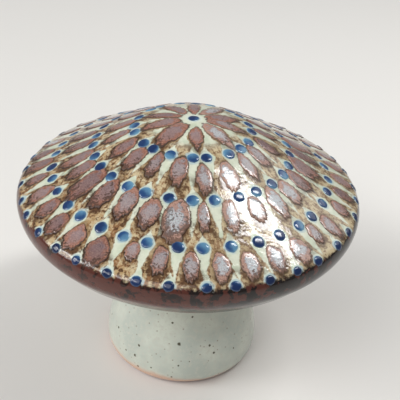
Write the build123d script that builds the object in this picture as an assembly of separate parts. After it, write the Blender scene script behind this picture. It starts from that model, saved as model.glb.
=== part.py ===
from build123d import *
import os
from math import acos, asin, atan2, cos, degrees, hypot, radians, sin, tan

# Stoneware mushroom ornament. A wheel-thrown stem stands on its foot ring and ends in a shoulder and spigot.
# A wheel-thrown cap drops over the spigot by a collar luted inside its crown, and lifts off.
# Beads of cobalt slip stand in rings on the cap. Sizes are in millimetres and angles in degrees.
# The origin is the middle of the foot, +Z is up and -Y is the side that the photograph shows.

# Cap, as thrown: a domed crown, a straight flank, a rounded rim and a wall that turns in to the lip
cap_radius = 90.0
cap_wall = 5.5
crown_height = 42.1
crown_curve_radius = 78.5
rim_inside_upper_radius = 1.3
rim_inside_lower_radius = 8.8
rim_turn_angle = 40.0
rim_run = 8.4

# Collar inside the crown, which seats the cap on the stem
seat_above_rim = 12.0
collar_wall = 5.5
collar_fit_clearance = 0.8
collar_lead_in = 1.2

# Stem: a foot ring, a swelling belly that draws in to the neck, a flat shoulder and an open spigot
stem_height = 115.1
stem_wall = 5.5
belly_radius = 43.7
belly_curve_radius = 56.0
neck_radius = 25.0
neck_curve_radius = 120.0
foot_inset = 5.3
foot_ring_width = 7.0
foot_recess = 1.5
floor_thickness = 5.0
heel_height = 0.7
floor_corner_radius = 6.0
shoulder_rounding = 1.2
spigot_radius = 19.0
spigot_height = 12.0
spigot_bore_radius = 14.5
spigot_rounding = 1.2

# Slip beads: one on the crown and four rings below it, each ring on its own circle
bead_width = 6.0
rim_bead_width = 4.8
bead_top_width = 3.4
bead_height = 0.7
bead_root = 0.8
bead_sides = 12
bead_ring_shares = [0.332, 0.562, 0.797, 0.979]
bead_ring_counts = [20, 29, 36, 37]
bead_ring_start_angles = [18.0, 161.0, 307.5, 218.5]
bead_ring_wobble_angles = [3.0, 0.7, 0.7, 0.7]
wobble_step = 2.4

# Sizes that follow from those above
rim_upper_radius = rim_inside_upper_radius + cap_wall
rim_lower_radius = rim_inside_lower_radius + cap_wall
cap_level = stem_height - seat_above_rim
crown_centre = cap_level + crown_height - crown_curve_radius
rim_upper_centre = cap_radius - rim_upper_radius
rim_lower_centre = cap_radius - rim_lower_radius
centre_rise = cap_level - crown_centre
centre_distance = hypot(rim_upper_centre, centre_rise)
flank_angle = degrees(
    asin((crown_curve_radius - rim_upper_radius) / centre_distance) - atan2(centre_rise, rim_upper_centre)
)
spigot_top = stem_height + spigot_height
belly_level = foot_recess + floor_thickness + heel_height
draw_in_angle = degrees(acos(1 - (belly_radius - neck_radius) / (belly_curve_radius + neck_curve_radius)))


def along(point, angle, distance):
    """The point that lies a distance away, at an angle measured from straight out."""
    x, y, *_ = point
    return (x + distance * cos(radians(angle)), y + distance * sin(radians(angle)))


def thrown(outline):
    """The solid that an outline of radius against height makes on the wheel."""
    return revolve(Plane.XZ * make_face(outline), Axis.Z, 360)


def cap_curve(depth):
    """The cap's meridian from crown to lip, as edges, at a depth below its outer surface."""
    crown = CenterArc((0, crown_centre), crown_curve_radius - depth, 90, -flank_angle)
    steep = 90 - flank_angle
    upper = CenterArc((rim_upper_centre, cap_level), rim_upper_radius - depth, steep, -steep)
    lower = CenterArc((rim_lower_centre, cap_level), rim_lower_radius - depth, 0, -rim_turn_angle)
    run_end = along(lower @ 1, -rim_turn_angle - 90, rim_run)
    return [crown, Line(crown @ 1, upper @ 0), upper, lower, Line(lower @ 1, run_end)]


def cap_filled(depth):
    """The cap down to its lip as one full solid, without its hollow."""
    edges = cap_curve(depth)
    lip = edges[-1] @ 1
    foot = (0, lip.Y)
    return thrown(edges + [Line(lip, foot), Line(foot, edges[0] @ 0)])


def make_cap_shell():
    outer = cap_curve(0)
    inner = cap_curve(cap_wall)
    lip_centre = (outer[-1] @ 1 + inner[-1] @ 1) / 2
    lip = [CenterArc(lip_centre, cap_wall / 2, -rim_turn_angle - turn, -90) for turn in (0, 90)]
    return thrown(outer + lip + inner + [Line(outer[0] @ 0, inner[0] @ 0)])


def make_cap_collar():
    bore_radius = spigot_radius + collar_fit_clearance
    height = cap_level + crown_height - stem_height
    ring = Cylinder(bore_radius + collar_wall, height) - Cylinder(bore_radius, height)
    ring = Pos(0, 0, stem_height + height / 2) * ring
    seat_edges = ring.edges().filter_by(GeomType.CIRCLE).sort_by(Axis.Z)[:2]
    ring = chamfer(seat_edges.sort_by(SortBy.RADIUS)[0], collar_lead_in)
    return ring & cap_filled(cap_wall)


def stem_side(depth, start_angle):
    """The side of the stem from the belly up to the straight end of the neck, at a depth below its skin."""
    belly_centre = (belly_radius - belly_curve_radius, belly_level)
    belly_angle = draw_in_angle - start_angle
    belly = CenterArc(belly_centre, belly_curve_radius - depth, start_angle, belly_angle)
    neck_centre = along(belly_centre, draw_in_angle, belly_curve_radius + neck_curve_radius)
    neck = CenterArc(neck_centre, neck_curve_radius + depth, 180 + draw_in_angle, -draw_in_angle)
    return [belly, neck]


def make_stem():
    foot_curve_radius = (foot_inset**2 + belly_level**2) / (2 * foot_inset)
    foot_angle = degrees(asin(belly_level / foot_curve_radius))
    foot_centre = (belly_radius - foot_curve_radius, belly_level)
    foot = CenterArc(foot_centre, foot_curve_radius, -foot_angle, foot_angle)
    side = stem_side(0, 0)
    outline = Polyline(side[-1] @ 1, (neck_radius, stem_height), (0, stem_height), (0, 0), foot @ 0)
    body = thrown([foot] + side + [outline])
    body = fillet(body.edges().filter_by(GeomType.CIRCLE).sort_by(Axis.Z)[-1], shoulder_rounding)

    spigot = Cylinder(spigot_radius, spigot_height)
    spigot = fillet(spigot.edges().filter_by(GeomType.CIRCLE).sort_by(Axis.Z)[-1], spigot_rounding)
    body += Pos(0, 0, stem_height + spigot_height / 2) * spigot

    return body - stem_hollow() - foot_hollow()


def stem_hollow():
    """The room inside the stem: floor, belly, neck, the shoulder's sloping underside and the open bore."""
    floor_level = foot_recess + floor_thickness
    start_angle = -degrees(asin(heel_height / (belly_curve_radius - stem_wall)))
    side = stem_side(stem_wall, start_angle)
    neck_inside = neck_radius - stem_wall
    slope_top = stem_height - stem_wall
    slope_start = slope_top - (neck_inside - spigot_bore_radius)
    bore = Polyline(
        side[-1] @ 1,
        (neck_inside, slope_start),
        (spigot_bore_radius, slope_top),
        (spigot_bore_radius, spigot_top),
        (0, spigot_top),
        (0, floor_level),
        side[0] @ 0,
    )
    room = thrown(side + [bore])
    floor_edge = room.edges().filter_by(GeomType.CIRCLE).sort_by(Axis.Z)[0]
    return fillet(floor_edge, floor_corner_radius)


def foot_hollow():
    """The shallow recess that trimming leaves inside the foot ring."""
    recess_radius = belly_radius - foot_inset - foot_ring_width
    return Pos(0, 0, foot_recess / 2) * Cylinder(recess_radius, foot_recess)


def cap_place(radius):
    """The height of the cap's outer surface at a radius, and the angle of its slope there."""
    flank = radians(flank_angle)
    crown_edge = crown_curve_radius * sin(flank)
    flank_end = rim_upper_centre + rim_upper_radius * sin(flank)
    if radius <= crown_edge:
        slope = asin(radius / crown_curve_radius)
        return crown_centre + crown_curve_radius * cos(slope), slope
    if radius >= flank_end:
        slope = asin((radius - rim_upper_centre) / rim_upper_radius)
        return cap_level + rim_upper_radius * cos(slope), slope
    crown_edge_height = crown_centre + crown_curve_radius * cos(flank)
    return crown_edge_height - (radius - crown_edge) * tan(flank), flank


def make_bead(radius, width, cap):
    """One bead of slip, a low drop with a flattened top, its root cut off along the cap's surface."""
    spread = (width - bead_top_width) / 2 * bead_root / bead_height
    root = RegularPolygon(width / 2 + spread, bead_sides)
    top = Pos(0, 0, bead_root + bead_height) * RegularPolygon(bead_top_width / 2, bead_sides)
    drop = loft([root.face(), top.face()], ruled=True)
    height, slope = cap_place(radius)
    return Pos(radius, 0, height) * Rot(0, degrees(slope), 0) * Pos(0, 0, -bead_root) * drop - cap


def bead_angles(ring):
    """Where a ring's beads stand: evenly round the cap, each a little off its place, as a hand leaves it."""
    start = bead_ring_start_angles[ring]
    count = bead_ring_counts[ring]
    wobble = bead_ring_wobble_angles[ring]
    return [start + 360 * i / count + wobble * sin(wobble_step * i) for i in range(count)]


def make_bead_ring(ring, cap):
    on_rim = ring == len(bead_ring_shares) - 1
    width = rim_bead_width if on_rim else bead_width
    bead = make_bead(bead_ring_shares[ring] * cap_radius, width, cap)
    return Compound([(Rot(0, 0, angle) * bead).solid() for angle in bead_angles(ring)])


def main():
    cap = cap_filled(0)
    parts = {
        "stem": make_stem(),
        "cap_shell": make_cap_shell(),
        "cap_collar": make_cap_collar(),
        "crown_bead": make_bead(0, bead_width, cap),
    }
    for ring in range(len(bead_ring_shares)):
        parts[f"bead_ring_{ring + 1}"] = make_bead_ring(ring, cap)

    os.makedirs("parts", exist_ok=True)
    for name, part in parts.items():
        export_step(part, f"parts/{name}.step")


main()
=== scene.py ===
from math import asin, atan2, ceil, cos, hypot, pi, radians, sin

import bpy
import numpy as np
from mathutils import Matrix, Vector


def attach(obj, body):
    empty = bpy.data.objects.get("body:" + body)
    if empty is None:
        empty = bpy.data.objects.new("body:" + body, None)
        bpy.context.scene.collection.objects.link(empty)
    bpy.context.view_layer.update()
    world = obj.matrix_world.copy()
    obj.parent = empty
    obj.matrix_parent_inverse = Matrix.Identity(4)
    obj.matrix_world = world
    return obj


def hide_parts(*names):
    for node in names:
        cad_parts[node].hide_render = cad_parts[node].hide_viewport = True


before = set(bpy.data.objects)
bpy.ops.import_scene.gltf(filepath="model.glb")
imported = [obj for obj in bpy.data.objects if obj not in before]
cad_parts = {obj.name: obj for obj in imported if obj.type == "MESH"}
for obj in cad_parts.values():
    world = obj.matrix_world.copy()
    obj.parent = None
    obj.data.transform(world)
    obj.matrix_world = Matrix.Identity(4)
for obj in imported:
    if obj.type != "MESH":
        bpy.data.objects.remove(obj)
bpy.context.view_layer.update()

# The cap's outline
# The cap is thrown upside down as a bowl and turned over: a domed crown, a straight flank, a rounded rim and
# a wall that turns in to a rounded lip. Everything that is glazed on it is laid along this outline.
mm = 0.001
cap_radius = 90 * mm
cap_wall = 5.5 * mm
widest_height = 103.1 * mm
crown_height = 42.1 * mm
crown_curve = 78.5 * mm
rim_upper_curve = 6.8 * mm
rim_lower_curve = 14.3 * mm
rim_turn = radians(40)
rim_run = 8.4 * mm
outline_spacing = 0.4 * mm
fewest_steps = 4
flank_points = 80
turned_in_points = 16

crown_centre = np.array([0, widest_height + crown_height - crown_curve])
rim_upper_centre = np.array([cap_radius - rim_upper_curve, widest_height])
rim_lower_centre = np.array([cap_radius - rim_lower_curve, widest_height])
crown_to_rim = rim_upper_centre - crown_centre
flank_slope = asin((crown_curve - rim_upper_curve) / hypot(*crown_to_rim))
flank_slope -= atan2(crown_to_rim[1], crown_to_rim[0])


def bend(centre, radius, start, end, spacing=outline_spacing):
    """Points of radius against height on an arc, from one angle to another."""
    count = max(fewest_steps, ceil(abs(end - start) * radius / spacing))
    angles = np.linspace(start, end, count + 1)
    return centre + radius * np.column_stack([np.cos(angles), np.sin(angles)])


def skin(depth):
    """The cap's outline from crown to lip, at a depth below its outer surface."""
    crown = bend(crown_centre, crown_curve - depth, pi / 2, pi / 2 - flank_slope)
    upper = bend(rim_upper_centre, rim_upper_curve - depth, pi / 2 - flank_slope, 0)
    lower = bend(rim_lower_centre, rim_lower_curve - depth, 0, -rim_turn)
    flank = np.linspace(crown[-1], upper[0], flank_points)[1:-1]
    inward = np.array([cos(-rim_turn - pi / 2), sin(-rim_turn - pi / 2)])
    turned_in = lower[-1] + np.linspace(0, rim_run, turned_in_points)[1:, None] * inward
    return np.vstack([crown, flank, upper, lower[1:], turned_in])


cap_outside = skin(0)
cap_inside = skin(cap_wall)
lip = bend((cap_outside[-1] + cap_inside[-1]) / 2, cap_wall / 2, -rim_turn, -rim_turn - pi)
cap_outline = np.vstack([cap_outside, lip[1:-1], cap_inside[::-1]])
outline_runs = np.concatenate([[0], np.cumsum(np.hypot(*np.diff(cap_outline, axis=0).T))])
outline_length = float(outline_runs[-1])
outside_length = float(outline_runs[len(cap_outside) - 1])
widest = int(np.argmax(cap_outside[:, 0]))


def run_to(radius):
    """The distance along the cap from the middle of the crown out to a radius."""
    return float(np.interp(radius, cap_outline[: widest + 1, 0], outline_runs[: widest + 1]))


def radius_at(run):
    """The radius that the cap has at a distance along it."""
    return float(np.interp(run, outline_runs, cap_outline[:, 0]))


outline_curve = bpy.data.curves.new("cap_outline", "CURVE")
outline_curve.dimensions = "3D"
outline_spline = outline_curve.splines.new("POLY")
outline_spline.points.add(len(cap_outline) - 1)
for point, (radius, height) in zip(outline_spline.points, cap_outline):
    point.co = (radius, 0, height, 1)
outline_object = bpy.data.objects.new("cap_outline", outline_curve)
bpy.context.scene.collection.objects.link(outline_object)

# Rings of slip beads
# Drops of cobalt slip are trailed on the cap before glazing: one on the crown and four rings below it. Each
# stands out as a low dome. They ride with the cap and take the place of the plain drops of the solid model.
bead_ring_radii = [share * cap_radius for share in (0.332, 0.562, 0.797, 0.979)]
bead_ring_counts = [20, 29, 36, 37]
bead_ring_start_degrees = [18.0, 161.0, 307.5, 218.5]
bead_ring_wobble_degrees = [3.0, 0.7, 0.7, 0.7]
wobble_step = 2.4
rim_ring = 3
bead_width = 6.0 * mm
rim_bead_width = 4.9 * mm
bead_height = 0.45 * mm
bead_raggedness = 0.16
bead_seed = 11
bead_edge_seed = 3.0
bead_growth = (0.98, 1.1)
bead_stretch = (0.94, 1.06)
bead_swirl = (-2.4, 2.4)
rim_bead_swirl = (-2.1, -1.0)
rim_bead_darker = 0.9
crown_bead_tint = 0.9
crown_bead_swirl = 2.0
bead_ring_runs = [run_to(radius) for radius in bead_ring_radii]


class Recipe:
    """A socket in a glaze's shader or in a geometry tree. Sums on it add Math nodes to its tree."""

    def __init__(self, tree, socket=None):
        self.tree = tree
        self.socket = socket

    def node(self, kind, settings=None, inputs=None, output=0):
        """Adds a node, its settings before its sockets' values or links, and gives one of its outputs."""
        made = self.tree.nodes.new(kind)
        for name, value in (settings or {}).items():
            setattr(made, name, value)
        for key, value in (inputs or {}).items():
            if isinstance(value, Recipe):
                self.tree.links.new(value.socket, made.inputs[key])
            else:
                made.inputs[key].default_value = value
        return Recipe(self.tree, made.outputs[output] if made.outputs else None)

    def other(self, output):
        """Another output of the same node."""
        return Recipe(self.tree, self.socket.node.outputs[output])

    def math(self, operation, *others):
        """A Math node on this value and then the others."""
        return self.node("ShaderNodeMath", {"operation": operation}, dict(enumerate((self, *others))))

    def vector(self, operation, *others):
        """A Vector Math node on this vector and then the others."""
        return self.node("ShaderNodeVectorMath", {"operation": operation}, dict(enumerate((self, *others))))

    def __add__(self, other):
        return self.math("ADD", other)

    def __sub__(self, other):
        return self.math("SUBTRACT", other)

    def __rsub__(self, other):
        return self.node("ShaderNodeMath", {"operation": "SUBTRACT"}, {0: other, 1: self})

    def __mul__(self, other):
        return self.math("MULTIPLY", other)

    def __truediv__(self, other):
        return self.math("DIVIDE", other)

    def __rtruediv__(self, other):
        return self.node("ShaderNodeMath", {"operation": "DIVIDE"}, {0: other, 1: self})

    __radd__ = __add__
    __rmul__ = __mul__

    def least(self, other):
        return self.math("MINIMUM", other)

    def most(self, other):
        return self.math("MAXIMUM", other)

    def rise(self, low, high):
        """0 below low, 1 above high and smooth between them."""
        settings = {"interpolation_type": "SMOOTHSTEP"}
        return self.node("ShaderNodeMapRange", settings, {0: self, 1: low, 2: high})

    def blend(self, under, over):
        """The colour under where this mask is 0, and the colour over where it is 1."""
        return self.node("ShaderNodeMix", {"data_type": "RGBA"}, {0: self, 6: under, 7: over}, 2)

    def parts(self):
        """The X of this vector. Y and Z are its other outputs."""
        return self.node("ShaderNodeSeparateXYZ", {}, {0: self})

    def bump(self, strength, depth):
        """The normal of a surface that has this height."""
        return self.node("ShaderNodeBump", {}, {"Height": self, "Strength": strength, "Distance": depth})

    def attribute(self, name, output="Fac"):
        """A value that the mesh holds under a name."""
        return self.node("ShaderNodeAttribute", {"attribute_name": name}, {}, output)

    def coordinates(self):
        """The piece's own coordinates, in metres."""
        return self.node("ShaderNodeTexCoord", {}, {}, "Object")

    def cloud(self, place, scale, detail=2.0, roughness=0.5):
        """Soft noise about 0.5 in a place's coordinates, its scale in blobs to the metre."""
        values = {"Vector": place, "Scale": scale, "Detail": detail, "Roughness": roughness}
        return self.node("ShaderNodeTexNoise", {}, values)


def fired(red, green, blue):
    """A glaze colour as a shader takes it, from the 0 to 255 values that a screen shows."""
    parts = [value / 255 for value in (red, green, blue)]
    return (*[p / 12.92 if p <= 0.04045 else ((p + 0.055) / 1.055) ** 2.4 for p in parts], 1)


def new_finish(name):
    """A new material and the recipe of its shader."""
    material = bpy.data.materials.new(name)
    material.use_nodes = True
    material.node_tree.nodes.clear()
    return material, Recipe(material.node_tree)


def close_finish(recipe, values):
    """Ends a finish in a shader with these values and links in its sockets."""
    shader = recipe.node("ShaderNodeBsdfPrincipled", {}, values)
    recipe.node("ShaderNodeOutputMaterial", {}, {"Surface": shader})


def new_tree(name, sockets):
    """A geometry tree with a Geometry input and output, and named inputs for its sizes and tools."""
    tree = bpy.data.node_groups.new(name, "GeometryNodeTree")
    tree.interface.new_socket("Geometry", in_out="INPUT", socket_type="NodeSocketGeometry")
    for label, kind in sockets.items():
        tree.interface.new_socket(label, in_out="INPUT", socket_type="NodeSocket" + kind)
    tree.interface.new_socket("Geometry", in_out="OUTPUT", socket_type="NodeSocketGeometry")
    return Recipe(tree).node("NodeGroupInput")


def shape_of(recipe, label):
    """The shape of the object that one of the tree's inputs holds."""
    return recipe.node("GeometryNodeObjectInfo", {}, {"Object": recipe.other(label)}, "Geometry")


def named(recipe, name):
    """A named value of the geometry that the tree works on."""
    return recipe.node("GeometryNodeInputNamedAttribute", {"data_type": "FLOAT"}, {"Name": name})


def keep(recipe, geometry, name, value, kind="FLOAT"):
    """Stores a value on every point of the geometry under a name."""
    settings = {"data_type": kind, "domain": "POINT"}
    values = {"Geometry": geometry, "Name": name, "Value": value}
    return recipe.node("GeometryNodeStoreNamedAttribute", settings, values)


def on_cap(recipe, outline, run, turn, lift):
    """Points on the cap: a run along its outline, a turn round its axis and a lift off its surface."""
    settings = {"mode": "LENGTH", "use_all_curves": False}
    sample = recipe.node("GeometryNodeSampleCurve", settings, {"Curves": outline, "Length": run}, "Position")
    place = sample.parts()
    along = sample.other("Tangent").parts()
    radius = place - along.other("Z") * lift
    height = place.other("Z") + along * lift
    around = {"X": radius * turn.math("COSINE"), "Y": radius * turn.math("SINE"), "Z": height}
    return recipe.node("ShaderNodeCombineXYZ", {}, around)


def close_tree(recipe, geometry, material):
    """Ends a tree in Realize Instances and Set Material, with smooth faces."""
    smooth = recipe.node("GeometryNodeSetShadeSmooth", {}, {"Geometry": geometry})
    real = recipe.node("GeometryNodeRealizeInstances", {}, {"Geometry": smooth})
    dressed = recipe.node("GeometryNodeSetMaterial", {}, {"Geometry": real, "Material": material})
    recipe.node("NodeGroupOutput", {}, {"Geometry": dressed})


def thrown(name, recipe, start, **inputs):
    """Runs a geometry tree on a starting mesh and keeps what it makes as a plain mesh."""
    piece = bpy.data.objects.new(name, start)
    bpy.context.scene.collection.objects.link(piece)
    modifier = piece.modifiers.new(name, "NODES")
    modifier.node_group = recipe.tree
    for socket in recipe.tree.interface.items_tree:
        if socket.in_out == "INPUT" and socket.name in inputs:
            modifier[socket.identifier] = inputs[socket.name]
    graph = bpy.context.evaluated_depsgraph_get()
    made = piece.evaluated_get(graph)
    mesh = bpy.data.meshes.new_from_object(made, preserve_all_data_layers=True, depsgraph=graph)
    piece.modifiers.remove(modifier)
    piece.data = mesh
    return piece


def lens(name, segments, rings, lifts, shape):
    """A closed flat drop, one unit across, in rings from its middle out. Each ring has its own lift."""
    points = [(0, 0, lifts[0])]
    insets = [1.0]
    for ring, share in enumerate(rings):
        for k in range(segments):
            x, y = shape(2 * pi * k / segments)
            points.append((x * share / 2, y * share / 2, lifts[ring + 1]))
            insets.append(1 - share)
    points.append((0, 0, lifts[-1]))
    insets.append(0.0)
    faces = [(0, 1 + k, 1 + (k + 1) % segments) for k in range(segments)]
    for ring in range(len(rings) - 1):
        low = 1 + ring * segments
        for k in range(segments):
            after = (k + 1) % segments
            faces.append((low + k, low + segments + k, low + segments + after, low + after))
    low = 1 + (len(rings) - 1) * segments
    faces += [(low + k, len(points) - 1, low + (k + 1) % segments) for k in range(segments)]
    mesh = bpy.data.meshes.new(name)
    mesh.from_pydata(points, [], faces)
    mesh.attributes.new("inset", "FLOAT", "POINT").data.foreach_set("value", insets)
    template = bpy.data.objects.new(name, mesh)
    bpy.context.scene.collection.objects.link(template)
    return template


def note(mesh, label, values):
    """Writes one value on each point of a mesh under a label."""
    mesh.attributes.new(label, "FLOAT", "POINT").data.foreach_set("value", values)


def marks(name, rows):
    """Points at which marks are laid. A row is one mark's run, turn, width, length, tint and swirl."""
    mesh = bpy.data.meshes.new(name)
    mesh.from_pydata([(0, 0, 0)] * len(rows), [], [])
    for column, label in enumerate(("run", "turn", "width", "length", "tint", "swirl")):
        note(mesh, label, [row[column] for row in rows])
    note(mesh, "stretch", [row[0] / radius_at(row[0]) if row[0] else 1.0 for row in rows])
    return mesh


def lay_tree(name):
    """Lays a flat template on the cap at each point, bent along its surface and roughened at its edge."""
    seeds_apart = 40
    sockets = {
        "Template": "Object", "Outline": "Object", "Height": "Float", "Raggedness": "Float", "Seed": "Float",
        "Finish": "Material",
    }
    tree = new_tree(name, sockets)
    strewn = {"Points": tree.other("Geometry"), "Instance": shape_of(tree, "Template")}
    copies = tree.node("GeometryNodeInstanceOnPoints", {}, strewn)
    real = tree.node("GeometryNodeRealizeInstances", {}, {"Geometry": copies})

    # The edge wanders broadly all round and is torn finely, most of all at the tail
    x = tree.node("GeometryNodeInputPosition").parts()
    y, lift = x.other("Y"), x.other("Z")
    flat = tree.node("ShaderNodeCombineXYZ", {}, {"X": x, "Y": y})
    real = keep(tree, real, "flat", flat, "FLOAT_VECTOR")
    toward = flat.vector("NORMALIZE")
    tail = (y * 1.8 + 0.25).most(0)
    which = named(tree, "tint") * seeds_apart + tree.other("Seed")
    broad = {"Vector": toward, "W": which, "Scale": 1.1, "Detail": 1.0}
    fine = {"Vector": toward, "W": which, "Scale": 4.2, "Detail": 3.0}
    uneven = tree.node("ShaderNodeTexNoise", {"noise_dimensions": "4D"}, broad) - 0.5
    torn = tree.node("ShaderNodeTexNoise", {"noise_dimensions": "4D"}, fine) - 0.5
    spread = 1 + tree.other("Raggedness") * (uneven * 1.1 + torn * (tail * 1.8 + 0.5))

    # The mark is laid on a flat disc round the middle of the crown, and the disc is wrapped over the cap
    across = x * spread * named(tree, "width") * named(tree, "stretch")
    down = y * spread * named(tree, "length") + named(tree, "run")
    run = (across * across + down * down).math("SQRT")
    turn = named(tree, "turn") - across.math("ARCTAN2", down)
    place = on_cap(tree, shape_of(tree, "Outline"), run, turn, lift * tree.other("Height"))
    laid = tree.node("GeometryNodeSetPosition", {}, {"Geometry": real, "Position": place})
    close_tree(tree, laid, tree.other("Finish"))
    return tree


# A bead is pale where the slip is thin and dark where it pools, and each pools on a side of its own
cobalt_slip, slip = new_finish("cobalt_bead_slip")
thin_blue, washed_blue = fired(88, 132, 162), fired(52, 94, 136)
pooled_blue, thick_blue = fired(36, 70, 116), fired(20, 42, 84)
sunk_blue, milky_blue = fired(14, 27, 56), fired(134, 166, 178)
tint = slip.attribute("tint")
swirled = {"Vector": slip.attribute("flat", "Vector"), "Center": (0, 0, 0), "Angle": slip.attribute("swirl")}
aside = slip.node("ShaderNodeVectorRotate", {"rotation_type": "Z_AXIS"}, swirled).parts()
pooled = slip.cloud(slip.coordinates(), 420) - 0.5
dark_side = (aside + pooled * 0.5 + tint * 0.3).rise(-0.35, 0.3)
edge = 1 - (slip.attribute("inset") + pooled * 0.2).rise(0.0, 0.3)
light_blue = tint.rise(0.1, 1.0).blend(thin_blue, washed_blue)
blue = dark_side.blend(light_blue, tint.blend(pooled_blue, thick_blue))
blue = (tint.rise(0.95, 1.6) * 0.6).blend(blue, sunk_blue)
blue = (edge * (1 - dark_side * 0.75) * 0.7).blend(blue, milky_blue)
bump = pooled.bump(0.12, 0.3 * mm)
close_finish(slip, {"Base Color": blue, "Roughness": 0.13, "IOR": 1.5, "Normal": bump})


def round_shape(angle):
    """A round drop's edge."""
    return sin(angle), -cos(angle)


def bead_turn(ring, i):
    """The turn of one bead in a ring, in degrees. The ring's first bead follows its last."""
    count = bead_ring_counts[ring]
    wobble = bead_ring_wobble_degrees[ring] * sin(wobble_step * (i % count))
    return bead_ring_start_degrees[ring] + 360 * i / count + wobble


drop_segments = 22
drop_rings = [0.34, 0.6, 0.8, 0.93, 1.0]
drop_lifts = [1.0, 0.96, 0.84, 0.58, 0.2, -0.35, -0.6]
drop = lens("drop", drop_segments, drop_rings, drop_lifts, round_shape)
dice = np.random.default_rng(bead_seed)
bead_tree = lay_tree("laid_bead")
bead_rows = {"crown_bead": [(0.0, 0.0, bead_width, bead_width, crown_bead_tint, crown_bead_swirl)]}
for ring, (run, count) in enumerate(zip(bead_ring_runs, bead_ring_counts)):
    on_rim = ring == rim_ring
    size = rim_bead_width if on_rim else bead_width
    rows = []
    for i in range(count):
        wide = size * dice.uniform(*bead_growth)
        tint_here = dice.random() + (rim_bead_darker if on_rim else 0.0)
        swirl_here = dice.uniform(*(rim_bead_swirl if on_rim else bead_swirl))
        long = wide * dice.uniform(*bead_stretch)
        rows.append((run, radians(bead_turn(ring, i)), wide, long, tint_here, swirl_here))
    bead_rows[f"bead_ring_{ring + 1}"] = rows
for node, rows in bead_rows.items():
    beads = thrown(
        node + "_slip", bead_tree, marks(node, rows), Template=drop, Outline=outline_object,
        Height=bead_height, Raggedness=bead_raggedness, Seed=bead_edge_seed, Finish=cobalt_slip,
    )
    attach(beads, "cap")
    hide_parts(node)
bpy.data.objects.remove(drop)

# Petals of iron glaze
# Between the beads lie brush marks of thick iron glaze, a rounded head uphill and a torn tail downhill. They
# fire rust brown with a mauve middle and a dark edge, and stand a little proud of the ground glaze. Some are
# painted with the lamps' glare and a white-blue glint in the middle.
petal_height = 0.32 * mm
petal_raggedness = 0.52
petal_seed = 5
petal_edge_seed = 7.0
petal_rows = [
    # run of the middle, count, length, width
    (16.6 * mm, 10, 21.2 * mm, 8.2 * mm),
    (bead_ring_runs[0] + 9.6 * mm, 20, 17.6 * mm, 8.6 * mm),
    (bead_ring_runs[1] + 9.4 * mm, 29, 19.6 * mm, 9.8 * mm),
    (bead_ring_runs[2] + 9.6 * mm, 36, 15.2 * mm, 9.4 * mm),
]
first_star_turn = 200.0
petal_growth = (0.74, 1.08)
petal_stretch = (0.82, 1.08)
petal_shift = 1.2
petal_turn_shift = 0.8
big_petal_share = 0.14
big_petal_width = 1.32
big_petal_length = 1.14
# Some petals are painted with the lamps' glare and a white-blue glint in the middle: those listed below, and
# a share of the rest at random
painted_glare_share = 0.1
painted_glare_elsewhere = 0.8
petals_by_hand = {
    # (row, number): turn in degrees, then run of the middle, width and length in mm, where it shows most
    (0, 0): (196, 16.6, 7.6, 21.6), (0, 1): (234, 17.8, 10.6, 23), (0, 2): (277, 16.6, 7.2, 17),
    (0, 3): (317, 16.8, 8.6, 21), (0, 4): (354, 16.8, 7.2, 21.6),
    (1, 10): (208, 39.5, 8.4, 18), (1, 11): (225, 39.5, 9, 16), (1, 12): (243, 38.3, 6.8, 14.5),
    (1, 13): (262.5, 38.8, 8, 16.5), (1, 14): (280.5, 42.3, 7.8, 17), (1, 15): (298, 43, 9, 18),
    (1, 16): (316.5, 40.5, 7, 17), (1, 17): (333, 39, 8, 16),
    (2, 3): (203, 62.5, 9.4, 18), (2, 4): (215, 65, 12.2, 25), (2, 5): (227.8, 62.8, 10.6, 18.5),
    (2, 6): (241.1, 62, 9.2, 18.5), (2, 7): (253.7, 63.5, 10.2, 17), (2, 8): (265.8, 65.5, 12.6, 23.5),
    (2, 9): (278.2, 62.3, 5.8, 16), (2, 10): (291, 63, 7.4, 19), (2, 11): (304.2, 62.5, 9, 16),
    (2, 12): (316.6, 63.5, 9.4, 18), (2, 13): (328, 62.5, 10.2, 16),
    (3, 25): (202.7, 86, 9.6, 15), (3, 26): (212.4, 86, 10, 13.5), (3, 27): (221.6, 88, 9.8, 14.5),
    (3, 28): (231.6, 88, 10.4, 14), (3, 29): (241.8, 89.3, 11.8, 16), (3, 30): (253, 83.5, 6.8, 10),
    (3, 31): (262.7, 85.5, 7.4, 14.5), (3, 32): (273, 87.3, 7.6, 15), (3, 33): (282.8, 88, 8.4, 14.5),
    (3, 34): (292.2, 88.6, 8.8, 14.5), (3, 35): (301.6, 88.3, 8.8, 14.5), (3, 0): (311.4, 88.8, 10, 14.5),
    (3, 1): (321.4, 85.5, 6.8, 12.5), (3, 2): (330.4, 88, 8.2, 14.5),
}
painted_glare_listed = {
    # (row, number): how strongly the petal is painted with the lamps' glare and a white-blue glint
    (0, 3): 0.9, (0, 4): 0.3,
    (1, 12): 0.3, (1, 13): 0.35, (1, 14): 0.7, (1, 15): 1.3, (1, 16): 0.6, (1, 17): 0.4,
    (2, 6): 0.3, (2, 7): 0.35, (2, 8): 1.0, (2, 9): 0.7,
    (2, 10): 1.2, (2, 11): 1.4, (2, 12): 1.2, (2, 13): 0.9,
    (3, 30): 0.3, (3, 31): 0.4, (3, 32): 0.55, (3, 33): 1.0, (3, 34): 1.2, (3, 35): 1.1,
    (3, 0): 1.0, (3, 1): 0.6, (3, 2): 0.5,
}
scorch_by_hand = {
    # (row, number): how much further up the petal its tail is burnt
    (1, 12): 0.15, (2, 5): 0.25, (2, 7): 0.1, (2, 8): 0.5, (3, 32): 0.15,
}

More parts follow.
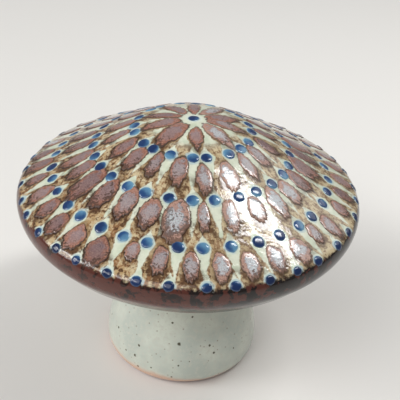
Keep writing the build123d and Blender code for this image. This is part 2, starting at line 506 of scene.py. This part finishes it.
petal_glaze, iron = new_finish("iron_petal_glaze")
salmon, chestnut, orange_rust = fired(154, 104, 86), fired(128, 82, 68), fired(168, 120, 100)
# The first rust below is paler, painted where the lamps' glare falls on a petal
painted_glare_rust, mottled_rust = fired(188, 160, 146), fired(106, 72, 60)
pale_mauve, deep_mauve = fired(144, 127, 128), fired(114, 97, 100)
# A painted glint, grey to white-blue, for the middle of petals in the glare
dull_painted_glint, bright_painted_glint = fired(158, 146, 148), fired(186, 198, 202)
dark_grain, pale_grain = fired(96, 64, 56), fired(184, 148, 134)
peach_line, burnt_brown = fired(184, 134, 106), fired(70, 50, 40)
# The second edge brown is paler, painted where the lamps' glare falls
edge_brown, painted_glare_edge_brown = fired(60, 39, 29), fired(96, 76, 62)
place = iron.coordinates()
inset = iron.attribute("inset")
tint = iron.attribute("tint")
# How strongly each petal is painted with glare and glint
painted_glare = iron.attribute("painted_glare")
tail = iron.attribute("flat", "Vector").parts().other("Y") + 0.5
torn = iron.cloud(place, 900, 3, 0.6) - 0.5
soft = iron.cloud(place, 260) - 0.5
mottle = iron.cloud(place, 1500, 2, 0.6).rise(0.46, 0.64)
# Where the painted glint is grey and where it is white-blue
painted_glint_cloud = iron.cloud(place, 1900, 2, 0.6).rise(0.26, 0.62)
grain = iron.cloud(place, 2100, 3, 0.7)

# The rust of the edge and the mauve of the middle, where the glaze is thick, then the painted glare: a paler
# rust, and a grey to white-blue painted glint in the middle
rust = tint.blend(salmon, chestnut)
rust = torn.rise(-0.1, 0.2).blend(rust, orange_rust)
rust = (painted_glare * 0.55).blend(rust, painted_glare_rust)
rust = (mottle * (0.5 - painted_glare * 0.3)).blend(rust, mottled_rust)
depth = inset + soft * 1.6 + torn * 0.8
middle = depth.rise(0.06, 0.5) * (1.3 - tail).least(1)
body = middle.blend(rust, tint.blend(pale_mauve, deep_mauve))
# The painted glint: grey to white-blue in the middle of petals in the glare
painted_glare_middle = painted_glare * depth.rise(0.2, 0.6) * (1 - (tail + torn).rise(0.6, 0.85) * 0.8)
body = (painted_glare_middle * 0.95).blend(body, painted_glint_cloud.blend(dull_painted_glint, bright_painted_glint))
body = (grain.rise(0.52, 0.62) * (1 - painted_glare_middle * 0.6) * 0.5).blend(body, dark_grain)
body = ((1 - grain.rise(0.38, 0.47)) * 0.5).blend(body, pale_grain)

# A pale line inside the edge, the burnt tail and the dark edge itself
inward = inset + torn * 0.16 + soft * 0.1
pale_line = inward.rise(0.08, 0.13) * (1 - inward.rise(0.15, 0.24)) * soft.rise(-0.12, 0.12)
body = (pale_line * 0.5).blend(body, peach_line)
heat = tail * 1.1 + torn * 4 + soft * 2.6 - inset * 0.8 + tint * 0.3 + iron.attribute("scorch")
burnt = heat.rise(0.78, 0.92) * (1 - painted_glare * 0.15)
body = (burnt * 0.8).blend(body, burnt_brown)
outline_dark = 1 - (inward - tail * 0.06 + soft * 0.2).rise(0.01, 0.09)
# In the painted glare the dark edge is painted paler and weaker
outline_colour = (painted_glare * 0.75).blend(edge_brown, painted_glare_edge_brown)
body = (outline_dark * (0.92 - painted_glare * 0.2)).blend(body, outline_colour)
bump = (torn * 0.6 + soft * 3).bump(0.26, 0.25 * mm)
roughness = outline_dark * (0.4 - painted_glare * 0.28) + 0.13
close_finish(iron, {"Base Color": body, "Roughness": roughness, "IOR": 1.5, "Normal": bump})


def petal_shape(angle):
    """A brush mark's edge: a rounded head and a narrower tail."""
    tail = -cos(angle)
    return sin(angle) * (1 - 0.06 * tail - 0.1 * tail * tail), tail


mark_segments = 56
mark_rings = [0.4, 0.68, 0.86, 0.95, 1.0]
mark_lifts = [1.0, 0.98, 0.9, 0.66, 0.3, -0.16, -0.9]
brush_mark = lens("brush_mark", mark_segments, mark_rings, mark_lifts, petal_shape)
dice = np.random.default_rng(petal_seed)
petal_marks = []
petal_painted_glares = []
petal_scorches = []
for row, (run, count, length, width) in enumerate(petal_rows):
    for i in range(count):
        star_turn = first_star_turn + 360 * i / count
        turn = (bead_turn(row - 1, i) + bead_turn(row - 1, i + 1)) / 2 if row else star_turn
        big = dice.random() < big_petal_share
        wide = width * dice.uniform(*petal_growth) * (big_petal_width if big else 1)
        long = length * dice.uniform(*petal_stretch) * (big_petal_length if big else 1)
        middle_run = run + dice.uniform(-petal_shift, petal_shift) * mm
        turn += dice.uniform(-petal_turn_shift, petal_turn_shift)
        by_hand = (row, i) in petals_by_hand
        if by_hand:
            turn, middle_run, wide, long = petals_by_hand[row, i]
            middle_run, wide, long = middle_run * mm, wide * mm, long * mm
        petal_marks.append((middle_run, radians(turn), wide, long, dice.random(), 0.0))
        # Each petal's strength of painted glare and glint, listed or at random
        painted_glare_here = painted_glare_elsewhere if dice.random() < painted_glare_share and not by_hand else 0.0
        petal_painted_glares.append(painted_glare_listed.get((row, i), painted_glare_here))
        petal_scorches.append(scorch_by_hand.get((row, i), 0.0))
petal_points = marks("petal_points", petal_marks)
# The painted glare and glint go on the petals as a value of their own
note(petal_points, "painted_glare", petal_painted_glares)
note(petal_points, "scorch", petal_scorches)
petals = thrown(
    "iron_petals", lay_tree("laid_petal"), petal_points, Template=brush_mark, Outline=outline_object,
    Height=petal_height, Raggedness=petal_raggedness, Seed=petal_edge_seed, Finish=petal_glaze,
)
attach(petals, "cap")
bpy.data.objects.remove(brush_mark)

# Cap
# The thrown cap carries a cream ground glaze that runs down from each bead in a pale tongue. Between the
# tongues it breaks to tan and dark brown, over the rim it turns iron red to black, and inside the clay is
# bare. In its finish every run, gap and distance is in millimetres.
cap_rows = 241
cap_columns = 301
seam_reach = 0.01 * mm
cap_unevenness = 0.3 * mm
cap_unevenness_scale = 22.0
tongue_uphill = 8.0
tongue_downhill = [21.0, 23.0, 20.0, 3.0]
tongue_half_widths = [3.9, 4.2, 3.9, 3.3]
tongue_taper = 1.35
bleed_reach = [4.1, 4.1, 4.1, 3.0]
streak_length = 260

cap_glaze, ground = new_finish("cap_ground_glaze")
thick_cream, thin_cream = fired(208, 212, 193), fired(190, 199, 176)
pale_tan, grey_tan, warm_tan = fired(194, 178, 144), fired(174, 156, 122), fired(170, 142, 102)
grey_umber, warm_umber, bark_brown = fired(148, 126, 98), fired(140, 102, 68), fired(84, 58, 38)
shore_brown, stain_brown, tide_brown = fired(122, 92, 64), fired(112, 84, 56), fired(96, 67, 44)
scorched_brown, iron_brown = fired(76, 53, 36), fired(54, 35, 24)
bead_halo, blue_bleed = fired(206, 216, 208), fired(136, 168, 180)
rim_black, rim_red = fired(22, 14, 12), fired(88, 42, 30)
rim_band, rim_patch = fired(24, 16, 14), fired(88, 46, 37)
clay_pale, clay_deep, clay_grit = fired(176, 152, 124), fired(156, 128, 100), fired(112, 84, 64)
place = ground.coordinates()
x = place.parts()
y = x.other("Y")
run = ground.attribute("run") / mm
gap = ground.attribute("petal_gap") / mm
radius = (x * x + y * y).math("SQRT") / mm
turn = y.math("ARCTAN2", x)
around = {"X": turn.math("COSINE"), "Y": turn.math("SINE"), "Z": run / streak_length}
wheel = ground.node("ShaderNodeCombineXYZ", {}, around)
wavy = ground.cloud(place, 190) - 0.5
fine = ground.cloud(place, 700, 3, 0.65) - 0.5
blotches = ground.cloud(place, 420, 4, 0.7) - 0.5
streaks = ground.cloud(wheel, 42, 3, 0.6) - 0.5
left_side = (x * -0.8 + y * -0.45) / mm
redder = left_side.rise(-20, 60)
strong = left_side.rise(-12, 60) * 0.45 + 0.55


def beside(ring):
    """How far across a point lies from the nearest bead's downhill line, in mm."""
    count = bead_ring_counts[ring]
    swing = bead_ring_wobble_degrees[ring] * count / 360
    pitches = (turn * (180 / pi) - bead_ring_start_degrees[ring]) * (count / 360)
    before = pitches.math("FLOOR")
    number = before.math("FLOORED_MODULO", count)
    after = (number + 1).math("FLOORED_MODULO", count)
    lean = (number * wobble_step).math("SINE")
    next_lean = (after * wobble_step).math("SINE")
    share = pitches - before
    from_last = (share - swing * lean).math("ABSOLUTE")
    from_next = (share - 1 - swing * next_lean).math("ABSOLUTE")
    return from_last.least(from_next) * radius * (2 * pi / count)


# The tongues of cream below the beads, with a pale halo and a bleed of blue round each bead
cream = (gap + wavy * 3 + fine * 2 - (run - 18) * 0.12).rise(0.3, 0.8) * (1 - run.rise(20, 27))
halo = 1 - radius.rise(3.2, 5.0)
bleed = 1 - radius.rise(2.6, 3.8)
below = run.rise(20, 26) * (1 - run.rise(30, 36))
for ring, ring_run in enumerate(bead_ring_runs):
    aside = beside(ring)
    down = run - ring_run / mm
    kite = (1 + down / tongue_uphill).least(1 - down / tongue_downhill[ring]).most(0)
    kite = kite.math("POWER", tongue_taper) * tongue_half_widths[ring]
    spill = kite - aside + wavy * 2.6 + fine * 1.3
    cream = cream.most(spill.rise(-0.5, 0.3) * kite.rise(0.1, 0.5))
    apart = (aside * aside + down * down).math("SQRT")
    halo = halo.most(1 - (apart + wavy * 2).rise(2.7, 3.9))
    bleed = bleed.most(1 - (apart + wavy * 4 + fine).rise(2.7, bleed_reach[ring]))
    if ring < rim_ring:
        below = below.most(down.rise(9, 13) * (1 - down.rise(18, 24)))

# The ground between the tongues, tan on the right and redder on the left
tan = (wavy + fine).rise(-0.15, 0.15).blend(pale_tan, redder.blend(grey_tan, warm_tan))
tan = (blotches + streaks * 0.8).rise(-0.04, 0.08).blend(tan, redder.blend(grey_umber, warm_umber))
tan = ((blotches + wavy * 0.7).rise(0.05, 0.13) * strong).blend(tan, bark_brown)
colour = cream.blend(tan, wavy.rise(-0.1, 0.2).blend(thick_cream, thin_cream))
shore = cream.rise(0.05, 0.4) * (1 - cream.rise(0.5, 0.9)) * blotches.rise(-0.1, 0.06)
colour = (shore * strong * 0.8).blend(colour, shore_brown)
colour = (halo * 0.55).blend(colour, bead_halo)
colour = (bleed * 0.55).blend(colour, blue_bleed)

# What the petals' iron does to the ground round them: a stain, burnt runs below, a tide line and a dark edge
stained = (1 - (gap + blotches * 5 + fine * 3).rise(0.4, 2.2)) * (1 - halo) * (1 - cream * 0.75)
colour = (stained * strong * 0.6).blend(colour, stain_brown)
scorched = below * (1 - (gap - blotches * 9).rise(0.8, 3.8)) * (wavy + blotches).rise(-0.12, 0.02)
colour = (scorched * (1 - halo) * strong * 0.85).blend(colour, scorched_brown)
tide = 1 - (gap + wavy * 7 + fine * 1.5 - 1.7).math("ABSOLUTE").rise(0.1, 0.4)
tide = tide * (1 - cream * 0.9) * blotches.rise(-0.12, 0.05)
colour = (tide * strong * 0.85).blend(colour, tide_brown)
iron_edge = 1 - (gap + fine * 1.3 + blotches * 2.2 - below * 0.3).rise(0.1, 0.45)
colour = (iron_edge * (strong * 0.6 + 0.36)).blend(colour, iron_brown)

# The rim, and the bare clay from the lip inwards
rim_start = bead_ring_runs[rim_ring] / mm
over_rim = (run + wavy * 4 + fine * 4).rise(rim_start - 0.5, rim_start + 1.5)
reddish = (left_side / 90 + streaks * 1.2 + wavy * 2 + blotches * 0.8).rise(0.1, 0.7)
rim_colour = ((1 - run.rise(101, 106)) * 0.75).blend(reddish.blend(rim_black, rim_red), rim_band)
patchy = (wavy * 2 + blotches * 0.9 + left_side / 300).rise(0.06, 0.16) * (1 - run.rise(103, 110))
colour = over_rim.blend(colour, (patchy * 0.8).blend(rim_colour, rim_patch))


def buff_clay(recipe, place):
    """The colour of bare clay: warm clouds with dark grit."""
    warm = recipe.cloud(place, 90, 3).rise(0.3, 0.7).blend(clay_pale, clay_deep)
    return recipe.cloud(place, 1500, 1).rise(0.62, 0.7).blend(warm, clay_grit)


lip_run = outside_length / mm
inside = (run + wavy * 1.5).rise(lip_run + 1.0, lip_run + 4.0)
colour = inside.blend(colour, buff_clay(ground, place))
roughness = inside * 0.58 + 0.12 + fine * 0.04
relief = fine * (1 - inside) * 0.6 + ground.cloud(place, 2600) * inside * 1.5 + wavy * 4
bump = relief.bump(0.2, 0.25 * mm)
close_finish(ground, {"Base Color": colour, "Roughness": roughness, "IOR": 1.5, "Normal": bump})

cap_sockets = {
    "Outline": "Object", "Petals": "Object", "Length": "Float", "Rows": "Int", "Columns": "Int",
    "Unevenness": "Float", "Finish": "Material",
}
cap_tree = new_tree("thrown_cap", cap_sockets)
rows, columns = cap_tree.other("Rows"), cap_tree.other("Columns")
sheet_sizes = {"Size X": 1, "Size Y": 1, "Vertices X": rows, "Vertices Y": columns}
sheet = cap_tree.node("GeometryNodeMeshGrid", {}, sheet_sizes)
flat = cap_tree.node("GeometryNodeInputPosition").parts()
sheet = keep(cap_tree, sheet, "run", (flat + 0.5) * cap_tree.other("Length"))
sheet = keep(cap_tree, sheet, "turn", (flat.other("Y") + 0.5) * (2 * pi))
run, turn = named(cap_tree, "run"), named(cap_tree, "turn")
domed = on_cap(cap_tree, shape_of(cap_tree, "Outline"), run, turn, 0.0)
sheet = cap_tree.node("GeometryNodeSetPosition", {}, {"Geometry": sheet, "Position": domed})
sheet = cap_tree.node("GeometryNodeMergeByDistance", {}, {"Geometry": sheet, "Distance": seam_reach})
place = cap_tree.node("GeometryNodeInputPosition")
uneven = {"Vector": place, "Scale": cap_unevenness_scale, "Detail": 1.0}
lift = (cap_tree.node("ShaderNodeTexNoise", {}, uneven) - 0.5) * cap_tree.other("Unevenness")
outward = {0: cap_tree.node("GeometryNodeInputNormal"), "Scale": lift}
off = cap_tree.node("ShaderNodeVectorMath", {"operation": "SCALE"}, outward)
sheet = cap_tree.node("GeometryNodeSetPosition", {}, {"Geometry": sheet, "Offset": off})
near = {"Geometry": shape_of(cap_tree, "Petals")}
gap = cap_tree.node("GeometryNodeProximity", {"target_element": "FACES"}, near, "Distance")
sheet = keep(cap_tree, sheet, "petal_gap", gap)
close_tree(cap_tree, sheet, cap_tree.other("Finish"))
cap = thrown(
    "thrown_cap", cap_tree, bpy.data.meshes.new("cap_start"), Outline=outline_object, Petals=petals,
    Length=outline_length, Rows=cap_rows, Columns=cap_columns, Unevenness=cap_unevenness, Finish=cap_glaze,
)
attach(cap, "cap")
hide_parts("cap_shell")
bpy.data.objects.remove(outline_object)

# Collar
# A thrown ring of the same clay is luted inside the crown and drops over the stem's spigot. It is left bare,
# buff and sandy, so that it doesn't stick in the kiln. The solid keeps its shape.
bare_clay, clay = new_finish("bare_stoneware")
place = clay.coordinates()
bump = clay.cloud(place, 2600).bump(0.35, 0.3 * mm)
close_finish(clay, {"Base Color": buff_clay(clay, place), "Roughness": 0.78, "Normal": bump})
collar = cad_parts["cap_collar"]
collar.data.materials.clear()
collar.data.materials.append(bare_clay)

# Stem
# The stem is thrown in one piece: a trimmed foot ring, a swelling belly drawn in to a straight neck, a
# shoulder and an open spigot. Its pale grey glaze shows iron specks. It stops at the foot, where the clay
# blushes, and at the shoulder, where the cap rests.
stem_height = 115.1 * mm
stem_wall = 5.5 * mm
belly_radius = 43.7 * mm
belly_curve = 56.0 * mm
neck_radius = 25.0 * mm
neck_curve = 120.0 * mm
foot_inset = 5.3 * mm
foot_ring_width = 7.0 * mm
foot_recess = 1.5 * mm
floor_thickness = 5.0 * mm
heel_height = 0.7 * mm
shoulder_rounding = 1.2 * mm
spigot_radius = 19.0 * mm
spigot_bore = 14.5 * mm
spigot_top = 127.1 * mm
spigot_rounding = 1.2 * mm
stem_spacing = 1.0 * mm
stem_columns = 180
sharp_angle = radians(40)
belly_height = foot_recess + floor_thickness + heel_height
draw_in = np.arccos(1 - (belly_radius - neck_radius) / (belly_curve + neck_curve))


def stem_side(depth, start):
    """The stem's side from the belly up to the straight end of the neck."""
    belly_centre = np.array([belly_radius - belly_curve, belly_height])
    belly = bend(belly_centre, belly_curve - depth, start, draw_in, stem_spacing)
    neck_centre = belly_centre + (belly_curve + neck_curve) * np.array([cos(draw_in), sin(draw_in)])
    neck = bend(neck_centre, neck_curve + depth, pi + draw_in, pi, stem_spacing)
    return np.vstack([belly, neck[1:]])


def rounded(radius, height, rounding):
    """A rounded outer edge where a wall of a radius meets a flat top at a height."""
    return bend(np.array([radius - rounding, height - rounding]), rounding, 0, pi / 2)


foot_curve = (foot_inset**2 + belly_height**2) / (2 * foot_inset)
foot_angle = asin(belly_height / foot_curve)
foot = bend(np.array([belly_radius - foot_curve, belly_height]), foot_curve, -foot_angle, 0)
shoulder = rounded(neck_radius, stem_height, shoulder_rounding)
spigot_edge = rounded(spigot_radius, spigot_top, spigot_rounding)
inner_side = stem_side(stem_wall, -asin(heel_height / (belly_curve - stem_wall)))[::-1]
neck_inside = neck_radius - stem_wall
room_floor = foot_recess + floor_thickness
recess_radius = belly_radius - foot_inset - foot_ring_width
stem_outline = np.vstack([
    [(0, foot_recess), (recess_radius, foot_recess), (recess_radius, 0)],
    foot, stem_side(0, 0)[1:], shoulder,
    [(spigot_radius, stem_height)], spigot_edge,
    [(spigot_bore, spigot_top), (spigot_bore, stem_height - stem_wall)],
    [(neck_inside, stem_height - stem_wall - (neck_inside - spigot_bore))], inner_side,
    [(0, room_floor)],
])

iron_specks = [
    # turn in degrees, height, radius and width in mm, of the specks on the side that shows
    (236.0, 13.8, 43.3, 2.0), (270.0, 28.3, 39.5, 1.8), (294.4, 26.1, 40.4, 1.4), (250.2, 10.6, 43.6, 1.1),
    (280.9, 42.2, 33.3, 1.3), (262.9, 38.6, 34.8, 1.2), (315.8, 18.7, 42.5, 1.2), (270.6, 15.6, 43.1, 0.9),
    (278.6, 18.3, 42.6, 0.9), (266.0, 7.0, 43.7, 1.0),
]


def scatter(recipe, place, scale, kept):
    """Distances from points strewn through a place, and a mask that keeps the share of them above a value."""
    cells = recipe.node("ShaderNodeTexVoronoi", {}, {"Vector": place, "Scale": scale}, "Distance")
    draw = recipe.node("ShaderNodeSeparateColor", {}, {0: cells.other("Color")})
    return cells, draw.rise(kept, kept + 0.02)


stem_glaze, celadon = new_finish("pale_stem_glaze")
grey_cream, grey_green, warm_cream = fired(203, 208, 195), fired(184, 191, 181), fired(195, 197, 185)
speck_halo, speck_brown, pinprick_brown = fired(150, 140, 112), fired(66, 62, 48), fired(128, 112, 92)
pink_blush, foot_rust = fired(216, 168, 140), fired(150, 88, 66)
place = celadon.coordinates()
x = place.parts()
height = x.other("Z") / mm
cloudy = celadon.cloud(place, 60, 3) - 0.5
fine = celadon.cloud(place, 520, 3, 0.6) - 0.5
pale = (cloudy + 0.5).rise(0.35, 0.65).blend(grey_cream, grey_green)
pale = (fine + 0.5).rise(0.45, 0.7).blend(pale, warm_cream)
cells, chosen = scatter(celadon, place, 150, 0.5)
speck = (1 - (cells + fine * 0.1).rise(0.08, 0.15)) * chosen
for turn, level, out, width in iron_specks:
    spot = (out * mm * cos(radians(turn)), out * mm * sin(radians(turn)), level * mm)
    away = place.vector("DISTANCE", spot).other("Value") / mm
    speck = speck.most(1 - (away / (width / 2) + fine * 2.4).rise(0.6, 1.3))
pale = (speck * 0.45).blend(pale, speck_halo)
pale = (speck.rise(0.35, 0.9) * 0.9).blend(pale, speck_brown)
dots, chosen = scatter(celadon, place, 420, 0.7)
pinprick = (1 - dots.rise(0.12, 0.24)) * chosen
pale = (pinprick * 0.6).blend(pale, pinprick_brown)

# The blush at the foot, and the bare clay of the foot, the shoulder and the spigot
warm_side = (x * -0.85 + x.other("Y") * -0.5) / (belly_radius * 2) + 0.5
blush = (1 - (height + cloudy * 8 - warm_side * 4).rise(0.6, 5.0)) * (warm_side + cloudy * 1.4).rise(0.1, 0.7)
pale = (blush * 0.8).blend(pale, pink_blush)
pale = (1 - (height + fine * 3 - warm_side * 1.4).rise(0.2, 1.8)).blend(pale, foot_rust)
shoulder_level = stem_height / mm
bare = (height + fine).rise(shoulder_level - 2, shoulder_level - 1)
bare = bare.most(1 - (height + fine * 0.4).rise(0.25, 0.6))
colour = bare.blend(pale, (cloudy + 0.5).rise(0.3, 0.7).blend(clay_pale, clay_deep))
roughness = bare * 0.5 + 0.24 + fine * 0.1
bump = (fine + cloudy * 4 - speck * 0.4).bump(0.25, 0.3 * mm)
close_finish(celadon, {"Base Color": colour, "Roughness": roughness, "IOR": 1.48, "Normal": bump})

turns = 2 * pi * np.arange(stem_columns) / stem_columns
stem_rings = []
points = []
for radius, level in stem_outline:
    if radius == 0:
        stem_rings.append([len(points)])
        points.append((0, 0, level))
    else:
        stem_rings.append(list(range(len(points), len(points) + stem_columns)))
        points += [(radius * cos(t), radius * sin(t), level) for t in turns]
faces = []
for low, high in zip(stem_rings, stem_rings[1:]):
    for k in range(stem_columns):
        after = (k + 1) % stem_columns
        if len(low) == 1:
            faces.append((low[0], high[after], high[k]))
        elif len(high) == 1:
            faces.append((low[k], low[after], high[0]))
        else:
            faces.append((low[k], low[after], high[after], high[k]))
stem_mesh = bpy.data.meshes.new("thrown_stem")
stem_mesh.from_pydata(points, [], faces)
stem_mesh.materials.append(stem_glaze)
stem_mesh.polygons.foreach_set("use_smooth", [True] * len(faces))
stem_mesh.set_sharp_from_angle(angle=sharp_angle)
stem = bpy.data.objects.new("thrown_stem", stem_mesh)
bpy.context.scene.collection.objects.link(stem)
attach(stem, "stem")
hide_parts("stem")

# Floor, lights and camera
# The ornament stands on a plain pale floor in soft studio light. A narrow lamp on the right gives the glare
# on the cap, two large ones light its left side and rim, and two more fill the right side and the front.
# The camera looks down from the photograph's angle.
floor_reach = 6
sky_strength = 0.26
right_aim = (0.025, -0.044, 0.12)
left_aim = (-0.047, -0.075, 0.108)
camera_elevation = radians(32.702)
camera_roll = radians(3.955)
camera_aim = Vector((5.98, 0, 96.69)) * mm
camera_distance = 404.2 * mm
sensor_width = 36
frame_pixels = 400
focal_pixels = 750

floor_mesh = bpy.data.meshes.new("floor")
corners = [(x * floor_reach, y * floor_reach, 0) for x, y in ((-1, -1), (1, -1), (1, 1), (-1, 1))]
floor_mesh.from_pydata(corners, [], [(0, 1, 2, 3)])
floor = bpy.data.objects.new("floor", floor_mesh)
bpy.context.scene.collection.objects.link(floor)
pale_floor, paper = new_finish("pale_floor")
close_finish(paper, {"Base Color": fired(226, 224, 220), "Roughness": 1.0, "Specular IOR Level": 0.1})
floor_mesh.materials.append(pale_floor)

world = bpy.data.worlds.new("studio")
bpy.context.scene.world = world
world.use_nodes = True
sky = world.node_tree.nodes["Background"]
sky.inputs["Color"].default_value = (1, 1, 1, 1)
sky.inputs["Strength"].default_value = sky_strength


def lamp(name, place, aim, width, height, power):
    """A soft rectangular lamp, with its place, aim and sizes in metres and its power in watts."""
    light = bpy.data.lights.new(name, "AREA")
    light.shape = "RECTANGLE"
    light.size = width
    light.size_y = height
    light.energy = power
    stand = bpy.data.objects.new(name, light)
    bpy.context.scene.collection.objects.link(stand)
    tilt = (Vector(aim) - Vector(place)).to_track_quat("-Z", "Y")
    stand.matrix_world = Matrix.Translation(place) @ tilt.to_matrix().to_4x4()


lamp("right_glare", (0.475, 0.138, 0.995), right_aim, 0.15, 0.4, 4)
lamp("left_square", (-2.657, -0.534, 1.515), left_aim, 1.26, 1.5, 34)
lamp("left_strip", (-1.976, -1.191, 2.115), left_aim, 3.0, 0.6, 29)
lamp("right_fill", (1.04, 0.736, 1.1), (0.045, -0.04, 0.12), 1.0, 0.9, 4.4)
lamp("soft_front", (-0.9, -2.1, 2.5), (0, 0, 0.1), 2.1, 2.1, 28)

back = Vector((0, -cos(camera_elevation), sin(camera_elevation)))
right = Vector((1, 0, 0))
up = back.cross(right)
camera_data = bpy.data.cameras.new("camera")
camera_data.sensor_width = sensor_width
camera_data.lens = sensor_width * focal_pixels / frame_pixels
camera = bpy.data.objects.new("camera", camera_data)
bpy.context.scene.collection.objects.link(camera)
rolled_right = right * cos(camera_roll) + up * sin(camera_roll)
rolled_up = up * cos(camera_roll) - right * sin(camera_roll)
axes = Matrix((rolled_right, rolled_up, back)).transposed()
camera.matrix_world = Matrix.Translation(camera_aim + back * camera_distance) @ axes.to_4x4()
bpy.context.scene.camera = camera
bpy.context.scene.view_settings.view_transform = "Standard"
